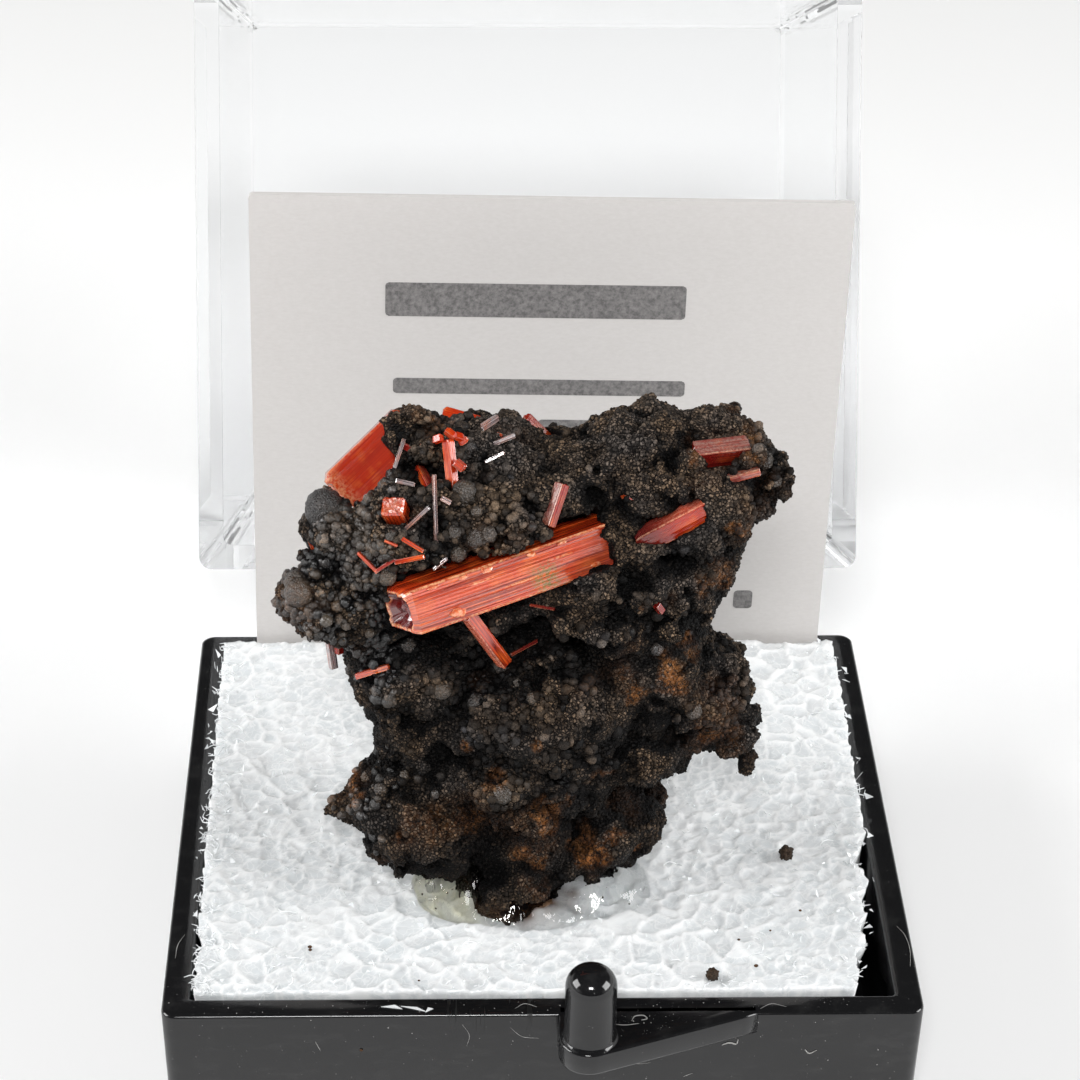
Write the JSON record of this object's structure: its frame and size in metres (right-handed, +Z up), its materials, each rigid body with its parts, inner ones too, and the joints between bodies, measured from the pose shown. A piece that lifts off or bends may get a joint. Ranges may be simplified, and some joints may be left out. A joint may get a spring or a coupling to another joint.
{
  "type": "crocoite thumbnail specimen in a hinged display box",
  "caption": "Orange-red prismatic crystals on black botryoidal matrix, glued to white foam in a black tray with a label card and a clear hinged lid.",
  "frame": {"origin": "centre of the tray's underside", "axes": "+X to the right and +Y to the back as seen from the side with the peg, +Z up; the hinge runs along X"},
  "size_m": [0.0318, 0.0668, 0.0366],
  "materials": {
    "black_plastic": "gloss",
    "clear_plastic": "polished",
    "foam": "matte",
    "card_stock": "matte",
    "clear_glue": "gloss",
    "goethite": "matte",
    "crocoite": "gloss"
  },
  "bodies": {
    "base": {"tray": "black_plastic", "foam_pad": "foam", "card": "card_stock", "glue": "clear_glue", "matrix": "goethite", "crystal_main": "crocoite", "crystal_back_left": "crocoite", "crystal_upper_right": "crocoite", "crystal_right_ledge": "crocoite", "crystal_right": "crocoite", "crystal_lower": "crocoite", "crystal_short": "crocoite", "crystal_block": "crocoite", "crystal_upright": "crocoite", "needle_grey": "crocoite", "blade_1": "crocoite", "blade_2": "crocoite", "blade_3": "crocoite", "blade_4": "crocoite", "blade_5": "crocoite", "chip_1": "crocoite", "chip_2": "crocoite", "blade_6": "crocoite", "needle_1": "crocoite", "needle_2": "crocoite", "needle_3": "crocoite", "needle_4": "crocoite", "needle_pair": "crocoite", "crystal_left_edge": "crocoite", "blade_left_low": "crocoite", "needle_left_low": "crocoite", "crystal_cavity": "crocoite", "needle_cavity": "crocoite", "chip_right": "crocoite", "crystal_ridge_left": "crocoite", "crystal_ridge_right": "crocoite", "crumb_right": "goethite", "crumb_front": "goethite"},
    "cover": {"lid": "clear_plastic"}
  },
  "joints": [
    {"name": "lid_hinge", "type": "hinge", "parent": "base", "child": "cover", "pos_m": [0, 0.01549, 0.009], "axis": [1, 0, 0], "range_deg": [0, 115.73]}
  ]
}
